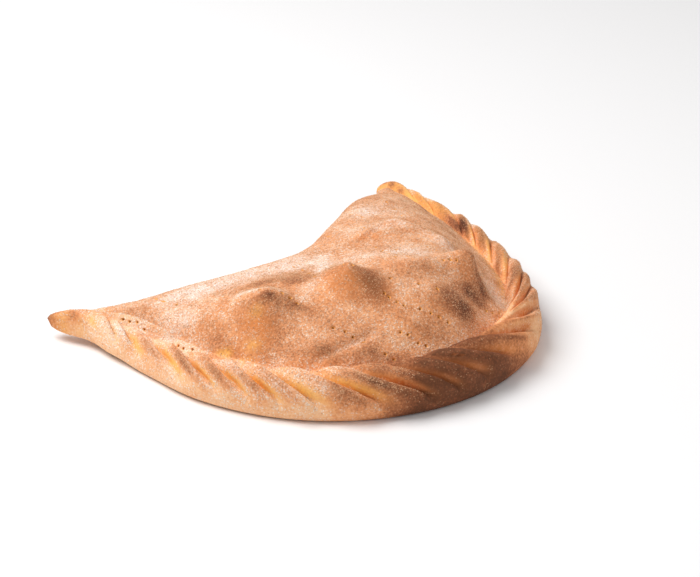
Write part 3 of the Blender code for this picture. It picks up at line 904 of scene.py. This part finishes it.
def press_holes(mesh):
    points = read_points(mesh)
    normals = read_vectors(mesh, "normal")
    centres = hole_places(points)
    near = np.zeros(len(points), dtype=bool)
    for centre in centres:
        near |= np.linalg.norm(points - points[centre], axis=1) < HOLE_PATCH
    work = bmesh.new()
    work.from_mesh(mesh)
    work.verts.ensure_lookup_table()
    edges = [edge for edge in work.edges if near[edge.verts[0].index] and near[edge.verts[1].index]]
    bmesh.ops.subdivide_edges(work, edges=edges, cuts=2, use_grid_fill=True)
    work.to_mesh(mesh)
    work.free()
    finer = read_points(mesh)
    pit = np.zeros(len(finer))
    draw = np.random.default_rng(HOLE_SEED)
    for centre in centres:
        offset = finer - points[centre]
        drag = draw.uniform(0, np.pi)
        along_drag = offset[:, 0] * cos(drag) + offset[:, 1] * sin(drag)
        shorter = 1 - 1 / draw.uniform(1, HOLE_LONGEST) ** 2
        away = np.sqrt(np.maximum((offset ** 2).sum(axis=1) - shorter * along_drag ** 2, 0))
        depth = HOLE_DEPTH * ramp(HOLE_RADIUS, HOLE_FLOOR, away)
        depth -= LIP_HEIGHT * patch(away, LIP_PLACE, LIP_HALF_WIDTH)
        depth *= draw.uniform(*HOLE_DEPTH_SHARE)
        finer -= normals[centre] * depth[:, None]
        pit = np.maximum(pit, ramp(*HOLE_STAIN, away))
    write_points(mesh, finer)
    write_map(mesh, "hole", pit)
    return len(centres)


hole_count = press_holes(crust_mesh)
triangles = sum(len(face.vertices) - 2 for face in crust_mesh.polygons)
print(hole_count, "fork holes; the crust now has", triangles, "triangles")

# %% [markdown]
# ## Small helpers for shaders
# A material in Blender is a graph of nodes. Made in code, a graph reads best when each line adds one
# node and says what flows into it. A material is then read from top to bottom, as a recipe is.

# %% Shader helpers
def add_node(tree, kind, inputs=None, **settings):
    """A node with its settings made and its inputs filled, each from a value or another node's socket."""
    node = tree.nodes.new(kind)
    for name, value in settings.items():
        setattr(node, name, value)
    for name, value in (inputs or {}).items():
        if isinstance(value, bpy.types.NodeSocket):
            tree.links.new(value, node.inputs[name])
        else:
            node.inputs[name].default_value = value
    return node


def math(tree, operation, first, second):
    return add_node(tree, "ShaderNodeMath", {0: first, 1: second}, operation=operation).outputs[0]


def texture(tree, kind, size, **values):
    """A texture on Object coordinates, with lumps or cells of a size in millimetres."""
    place = add_node(tree, "ShaderNodeTexCoord").outputs["Object"]
    return add_node(tree, kind, {"Vector": place, "Scale": 1 / (size * MM), **values})


def noise(tree, size, detail=2.0):
    return texture(tree, "ShaderNodeTexNoise", size, Detail=detail).outputs["Fac"]


def stretch(tree, value, low, high, to_low=0.0, to_high=1.0):
    """Value between low and high, stretched smoothly to another range."""
    values = {"Value": value, "From Min": low, "From Max": high, "To Min": to_low, "To Max": to_high}
    return add_node(tree, "ShaderNodeMapRange", values, interpolation_type="SMOOTHSTEP").outputs["Result"]


def blend(tree, share, below, above):
    """Colour above laid over colour below by a share. A mix of colours has them at inputs 6 and 7."""
    inputs = {0: share, 6: below, 7: above}
    return add_node(tree, "ShaderNodeMix", inputs, data_type="RGBA", clamp_factor=True).outputs[2]


def skin_map(tree, name):
    return add_node(tree, "ShaderNodeAttribute", attribute_name=name).outputs["Fac"]


def new_group(name, given, outputs):
    """An empty shader node group with one input, the socket that gives it, and its output node."""
    group = bpy.data.node_groups.new(name, "ShaderNodeTree")
    group.interface.new_socket(given, in_out="INPUT", socket_type="NodeSocketFloat")
    for label in outputs:
        group.interface.new_socket(label, in_out="OUTPUT", socket_type="NodeSocketFloat")
    return group, group.nodes.new("NodeGroupInput").outputs[given], group.nodes.new("NodeGroupOutput")


def use_group(tree, group, inputs):
    return add_node(tree, "ShaderNodeGroup", inputs, node_tree=group)


def add_bump(tree, surface, height, strength, distance):
    """Fine relief in the shading, of a height in metres."""
    bump = add_node(tree, "ShaderNodeBump", {"Height": height, "Strength": strength, "Distance": distance})
    tree.links.new(bump.outputs["Normal"], surface.inputs["Normal"])


def new_material(name):
    """A material with its node tree and its shader."""
    material = bpy.data.materials.new(name)
    material.use_nodes = True
    return material, material.node_tree, material.node_tree.nodes["Principled BSDF"]


print("shader helpers ready")

# %% [markdown]
# ## Mottling and dust
# The crust and the semolina share two effects, so both are node groups, built once and used in each
# material with its own amount. Heat is uneven at every scale, so the mottling adds three noises: patches
# as wide as a thumb, spots as wide as a pea and a fine grain. The dust is made of small cells, as flour
# lies in crumbs and not as a film. Each cell has a chance of its own, and it is dusted when that chance
# is below the amount of flour there.

# %% Node groups
# Size in millimetres, detail and share of each noise in the mottling, and the middle of their sum.
MOTTLES = ((22, 2, 0.40), (7, 2, 0.30), (1.5, 3, 0.86))
MOTTLE_MIDDLE = 0.78
# Width of a crumb of flour and of the grit on it.
CRUMB = 1.0
GRIT = 0.9
# Flour lies in patches this wide, this much thicker and thinner than the map says.
FLOUR_PATCH = 5
FLOUR_UNEVEN = 0.9
# How softly a crumb comes and goes with the flour, and how far from its middle it thins out.
DUST_EDGE = (-0.18, 0.25)
CRUMB_EDGE = (0.75, 0.35)


def make_mottling():
    group, amount, result = new_group("oven_mottling", "Amount", ["Variation"])
    broad, middle, fine = (math(group, "MULTIPLY", noise(group, size, detail), share)
                           for size, detail, share in MOTTLES)
    total = math(group, "ADD", math(group, "ADD", broad, middle), fine)
    centred = math(group, "SUBTRACT", total, MOTTLE_MIDDLE)
    group.links.new(math(group, "MULTIPLY", centred, amount), result.inputs["Variation"])
    return group


def make_dusting():
    group, given, result = new_group("flour_dusting", "Flour", ["Dust", "Grain"])
    crumbs = texture(group, "ShaderNodeTexVoronoi", CRUMB)
    chance = add_node(group, "ShaderNodeSeparateColor", {"Color": crumbs.outputs["Color"]}).outputs["Red"]
    patches = math(group, "SUBTRACT", noise(group, FLOUR_PATCH, detail=3), 0.5)
    flour = math(group, "ADD", given, math(group, "MULTIPLY", patches, FLOUR_UNEVEN))
    lies = stretch(group, math(group, "SUBTRACT", flour, chance), *DUST_EDGE)
    dust = math(group, "MULTIPLY", lies, stretch(group, crumbs.outputs["Distance"], *CRUMB_EDGE))
    group.links.new(dust, result.inputs["Dust"])
    group.links.new(math(group, "ADD", dust, noise(group, GRIT, detail=3)), result.inputs["Grain"])
    return group


oven_mottling = make_mottling()
flour_dusting = make_dusting()
print("groups:", [group.name for group in bpy.data.node_groups])

# %% [markdown]
# ## Baked crust
# One ramp of colours runs from raw dough to scorched crust, and the browning map says where on the ramp
# each point lies. Mixing separate materials would give hard borders, which bread doesn't have. Flour
# then covers part of it, as a thin film and as crumbs, and toasts with the crust below. Fork holes are
# amber with a core painted dark as the shade down in the pit. The surface stays matt, apart from the oily
# yellow patches.

# %% Crust material
# Place on the ramp, colour.
BAKING = ((0.0, (0.92, 0.54, 0.29)), (0.25, (0.83, 0.38, 0.165)), (0.45, (0.66, 0.255, 0.10)),
          (0.62, (0.40, 0.145, 0.06)), (0.8, (0.20, 0.063, 0.026)), (1.0, (0.06, 0.020, 0.010)))
THIN_FLOUR = (0.92, 0.80, 0.68, 1)
THICK_FLOUR = (0.92, 0.87, 0.85, 1)
# Flour that browned with the crust under it.
TOASTED_FLOUR = (0.62, 0.32, 0.165, 1)
ORANGE_CRUST = (0.66, 0.22, 0.06, 1)
PALE_DOUGH = (0.95, 0.49, 0.105, 1)
HOLE_INSIDE = (0.84, 0.38, 0.09, 1)
# Dark of a charred hole, also painted as the shade in the core of every hole.
HOLE_SCORCH_AND_SHADE = (0.24, 0.07, 0.02, 1)
# A map or a noise between the first two numbers is stretched to 0 to 1, or to the last two.
ORANGE_BREAKS = (-0.2, 0.12, 0.3, 1.0)
PALE_BREAKS = (-0.25, 0.2, 1.0, 0.6)
THICK = (0.45, 0.95)
TOASTED_THROUGH = (0.17, 0.6)
HOLE_EDGE = (0.1, 0.6)
# Where a hole's core is painted dark as shade, and how brown the crust must be for a hole to be charred.
HOLE_SHADED_CORE = (0.6, 0.95)
HOLE_CHARRED = (0.55, 0.9)
OILY = (0.5, 1.0, 0.86, 0.55)
CRUST_MOTTLING = 0.85
FILM_SHARE = 0.55
DUST_SHARE = 0.8
HOLE_SHADE_SHARE = 0.8
# Size of the shallow dents in the crust, and how strong they are beside the flour's grain.
DENT_SIZE = 3
DENT_SHARE = 1.5
# Strength and height in metres of the relief in the shading.
CRUST_BUMP = (0.55, 0.5 * MM)
CRUST_SPECULAR = 0.3


def baking_ramp(tree, value):
    ramp_node = add_node(tree, "ShaderNodeValToRGB", {"Fac": value})
    stops = ramp_node.color_ramp.elements
    while len(stops) < len(BAKING):
        stops.new(0.5)
    for stop, (place, colour) in zip(stops, BAKING):
        stop.position = place
        stop.color = (*colour, 1)
    return ramp_node.outputs["Color"]


def crust_finish():
    material, tree, surface = new_material("baked_crust")
    brown_map, orange_map, flour_map, pale_map, hole_map = (
        skin_map(tree, name) for name in ("browned", "orange", "floured", "pale_dough", "hole"))
    mottling = use_group(tree, oven_mottling, {"Amount": CRUST_MOTTLING}).outputs["Variation"]
    dusting = use_group(tree, flour_dusting, {"Flour": flour_map})

    browned = math(tree, "ADD", brown_map, mottling)
    colour = baking_ramp(tree, browned)
    orange = math(tree, "MULTIPLY", orange_map, stretch(tree, mottling, *ORANGE_BREAKS))
    colour = blend(tree, orange, colour, ORANGE_CRUST)
    pale = math(tree, "MULTIPLY", pale_map, stretch(tree, mottling, *PALE_BREAKS))
    colour = blend(tree, pale, colour, PALE_DOUGH)

    flour_colour = blend(tree, stretch(tree, flour_map, *THICK), THIN_FLOUR, THICK_FLOUR)
    flour_colour = blend(tree, stretch(tree, browned, *TOASTED_THROUGH), flour_colour, TOASTED_FLOUR)
    film = math(tree, "MULTIPLY", math(tree, "POWER", flour_map, 2.0), FILM_SHARE)
    colour = blend(tree, film, colour, flour_colour)
    dust = math(tree, "MULTIPLY", dusting.outputs["Dust"], DUST_SHARE)
    colour = blend(tree, dust, colour, flour_colour)

    # A hole's core is painted dark as the shade in the pit, and a hole in dark brown crust is charred.
    hole_shade = math(tree, "MULTIPLY", stretch(tree, hole_map, *HOLE_SHADED_CORE), HOLE_SHADE_SHARE)
    charred_and_shaded = math(tree, "MAXIMUM", hole_shade, stretch(tree, brown_map, *HOLE_CHARRED))
    inside = blend(tree, charred_and_shaded, HOLE_INSIDE, HOLE_SCORCH_AND_SHADE)
    colour = blend(tree, stretch(tree, hole_map, *HOLE_EDGE), colour, inside)
    tree.links.new(colour, surface.inputs["Base Color"])
    tree.links.new(stretch(tree, pale_map, *OILY), surface.inputs["Roughness"])
    surface.inputs["Specular IOR Level"].default_value = CRUST_SPECULAR
    dents = math(tree, "MULTIPLY", noise(tree, DENT_SIZE), DENT_SHARE)
    add_bump(tree, surface, math(tree, "ADD", dusting.outputs["Grain"], dents), *CRUST_BUMP)
    return material


def new_object(name, data):
    """An object in the scene, at the origin."""
    made = bpy.data.objects.new(name, data)
    bpy.context.scene.collection.objects.link(made)
    return made


def show(name, mesh, material):
    """The finished piece, with its finish on it, riding on the bread's one body."""
    mesh.shade_smooth()
    mesh.materials.append(material)
    piece = new_object(name, mesh)
    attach(piece, "root")
    return piece


crust = show("crust", crust_mesh, crust_finish())
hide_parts("scacciata")
print("crust is finished with", crust.data.materials[0].name)

# %% [markdown]
# ## Semolina
# Bakers dust the board with coarse semolina, and its grains stay on the crust as pale specks that catch
# the light, or toast with it. Bump alone makes them look painted on. Real grains, about half a
# millimetre across, are strewn over the skin instead. Each is a squashed ball from an operator, copied
# by arrays into one mesh for each kind, which draws much faster than 48,000 objects.

# %% Strewing grains
GRAIN_COUNT = 24000
GRAIN_RADIUS = (0.14, 0.32)
GRAIN_SQUASH = (0.6, 1.3)
GRAIN_LIFT = 0.45
GRAIN_SEED = 24003
# Chance of a grain on bare crust and on skin that faces down, between which slopes the second grows, and
# the height from which there are grains.
BARE_CHANCE = 0.004
STEEP_CHANCE = 0.1
STEEP = (-0.5, 0.8)
GRAINS_FROM = 1.5


def grain_ball():
    """Points and faces of one grain: a ball of only eight faces, enough for a crumb this small."""
    ball = bmesh.new()
    bmesh.ops.create_uvsphere(ball, u_segments=4, v_segments=2, radius=1)
    mesh = finished_mesh(ball, "grain")
    return read_points(mesh) * MM, np.array([face.vertices[:] for face in mesh.polygons])


grain_points, grain_faces = grain_ball()


def skin_triangles(mesh, points):
    """Corners and flour of every triangle of the skin, sorted by place."""
    mesh.calc_loop_triangles()
    corners = np.empty(len(mesh.loop_triangles) * 3, dtype=np.int32)
    mesh.loop_triangles.foreach_get("vertices", corners)
    corners = corners.reshape(-1, 3)
    # Dividing edges leaves the faces in another order each run. Sorted by place, they get the same grains.
    first = points[corners, 0].argmin(axis=1)[:, None]
    corners = np.take_along_axis(corners, (first + np.arange(3)) % 3, axis=1)
    corners = corners[np.lexsort(points[corners].mean(axis=1).round(3).T)]
    flour = np.empty(len(mesh.vertices), dtype=np.float32)
    mesh.attributes["floured"].data.foreach_get("value", flour)
    return corners, flour[corners].mean(axis=1)


def strew(name, skin_mesh, flour_power, buried):
    """A mesh of grains on the skin, more of them where flour lies, unless thick flour has buried them."""
    draw = np.random.default_rng(GRAIN_SEED)
    points = read_points(skin_mesh)
    corners, flour = skin_triangles(skin_mesh, points)
    a, b, c = (points[corners[:, i]] for i in range(3))
    square = np.cross(b - a, c - a)
    area = np.linalg.norm(square, axis=1)
    up = square / np.maximum(area, 1e-9)[:, None]
    weight = area * (BARE_CHANCE + flour ** flour_power)
    weight *= (1 - buried * flour) * (STEEP_CHANCE + ramp(*STEEP, up[:, 2])) * (a[:, 2] > GRAINS_FROM)
    pick = draw.choice(len(corners), GRAIN_COUNT, p=weight / weight.sum())
    u, v = draw.random((2, GRAIN_COUNT))
    u, v = np.where(u + v > 1, (1 - u, 1 - v), (u, v))
    spot = a[pick] + (b - a)[pick] * u[:, None] + (c - a)[pick] * v[:, None]

    radius = draw.uniform(*GRAIN_RADIUS, GRAIN_COUNT)[:, None, None]
    squash = draw.uniform(*GRAIN_SQUASH, (GRAIN_COUNT, 1, 3))
    spin = np.linalg.qr(draw.normal(0, 1, (GRAIN_COUNT, 3, 3)))[0]
    placed = np.einsum("nij,nkj->nki", spin, grain_points[None] * squash * radius)
    placed += (spot + up[pick] * radius[:, 0] * GRAIN_LIFT)[:, None, :]
    first_points = np.arange(GRAIN_COUNT) * len(grain_points)
    faces = (grain_faces[None] + first_points[:, None, None]).reshape(-1, grain_faces.shape[1])
    joined = bpy.data.meshes.new(name)
    joined.from_pydata((placed.reshape(-1, 3) * MM).tolist(), [], faces.tolist())
    return joined


print("a grain has", len(grain_faces), "faces")

# %% Two kinds of semolina
# Kind: how closely it keeps to flour, how much thick flour hides it, light and dark colour.
SEMOLINA = {
    "semolina": (2.0, 0.0, (0.92, 0.69, 0.47, 1), (0.82, 0.52, 0.29, 1)),
    "toasted_semolina": (0.9, 0.85, (0.70, 0.42, 0.24, 1), (0.50, 0.25, 0.12, 1)),
}
GRAIN_SHADES = (-0.3, 0.3)
GRAIN_ROUGHNESS = (0.3, 0.7, 0.6, 0.9)
GRAIN_MOTTLING = 2.0
GRAIN_FLOUR = 0.5
GRAIN_BUMP = (0.3, 0.1 * MM)


def semolina_finish(name, light, dark):
    material, tree, surface = new_material(name)
    mottling = use_group(tree, oven_mottling, {"Amount": GRAIN_MOTTLING}).outputs["Variation"]
    grain = use_group(tree, flour_dusting, {"Flour": GRAIN_FLOUR}).outputs["Grain"]
    colour = blend(tree, stretch(tree, mottling, *GRAIN_SHADES), light, dark)
    tree.links.new(colour, surface.inputs["Base Color"])
    tree.links.new(stretch(tree, grain, *GRAIN_ROUGHNESS), surface.inputs["Roughness"])
    add_bump(tree, surface, grain, *GRAIN_BUMP)
    return material


for kind, (flour_power, buried, light, dark) in SEMOLINA.items():
    grains = strew(kind, crust_mesh, flour_power, buried)
    show(kind, grains, semolina_finish(kind, light, dark))
    print(kind, "has", len(grains.polygons), "faces")

# %% [markdown]
# ## Floor, light and camera
# The bread lies on a plain pale floor. One large softbox stands to the left and behind, as a window does
# in a kitchen, a weaker one fills from the front, and a bright surround keeps the shadows soft. The
# camera looks along the angle at which such a bread is usually shown: a little from above, with a long
# lens that keeps the two tips in proportion.

# %% Floor
FLOOR_HALF_WIDTH = 6
FLOOR_COLOUR = (0.88, 0.87, 0.87, 1)
FLOOR_ROUGHNESS = 0.6


def make_floor():
    floor = bmesh.new()
    bmesh.ops.create_grid(floor, x_segments=1, y_segments=1, size=FLOOR_HALF_WIDTH)
    mesh = finished_mesh(floor, "floor")
    material, _, surface = new_material("floor")
    surface.inputs["Base Color"].default_value = FLOOR_COLOUR
    surface.inputs["Roughness"].default_value = FLOOR_ROUGHNESS
    mesh.materials.append(material)
    new_object("floor", mesh)


make_floor()
print("floor laid")

# %% Light
TARGET = Vector((0.0433, 0.0438, 0.0))
# Name: azimuth from the camera's own, elevation, distance, width, power in watts.
SOFTBOXES = {"window": (-86, 58, 1.8, 1.2, 33), "fill": (50, 38, 2.2, 1.6, 6)}
SURROUND = 0.46
CAMERA_AZIMUTH = -44.9
CAMERA_ELEVATION = 25.5


def looking_at_bread(azimuth, elevation, distance):
    """Placement that looks at the bread from an azimuth and elevation in degrees and a distance."""
    turn, rise = radians(azimuth), radians(elevation)
    away = Vector((sin(turn) * cos(rise), -cos(turn) * cos(rise), sin(rise)))
    facing = away.to_track_quat("Z", "Y").to_matrix().to_4x4()
    return Matrix.Translation(TARGET + away * distance) @ facing


def make_lights():
    for name, (azimuth, elevation, distance, width, power) in SOFTBOXES.items():
        softbox = bpy.data.lights.new(name, "AREA")
        softbox.energy = power
        softbox.size = width
        lamp = new_object(name, softbox)
        lamp.matrix_world = looking_at_bread(CAMERA_AZIMUTH + azimuth, elevation, distance)
    world = bpy.data.worlds.new("surround")
    world.use_nodes = True
    background = world.node_tree.nodes["Background"]
    background.inputs["Color"].default_value = (1, 1, 1, 1)
    background.inputs["Strength"].default_value = SURROUND
    bpy.context.scene.world = world
    bpy.context.scene.view_settings.view_transform = "Standard"


make_lights()
print("lights:", list(SOFTBOXES))

# %% Camera
CAMERA_DISTANCE = 1.66
CAMERA_ROLL = 2.5
LENS = 120
SENSOR_WIDTH = 36
NEAREST = 0.05
FARTHEST = 50


def make_camera():
    data = bpy.data.cameras.new("camera")
    data.lens = LENS
    data.sensor_width = SENSOR_WIDTH
    data.clip_start = NEAREST
    data.clip_end = FARTHEST
    camera = new_object("camera", data)
    camera.matrix_world = (looking_at_bread(CAMERA_AZIMUTH, CAMERA_ELEVATION, CAMERA_DISTANCE)
                           @ Matrix.Rotation(radians(CAMERA_ROLL), 4, "Z"))
    bpy.context.scene.camera = camera


make_camera()
print("camera stands", CAMERA_DISTANCE, "m away")
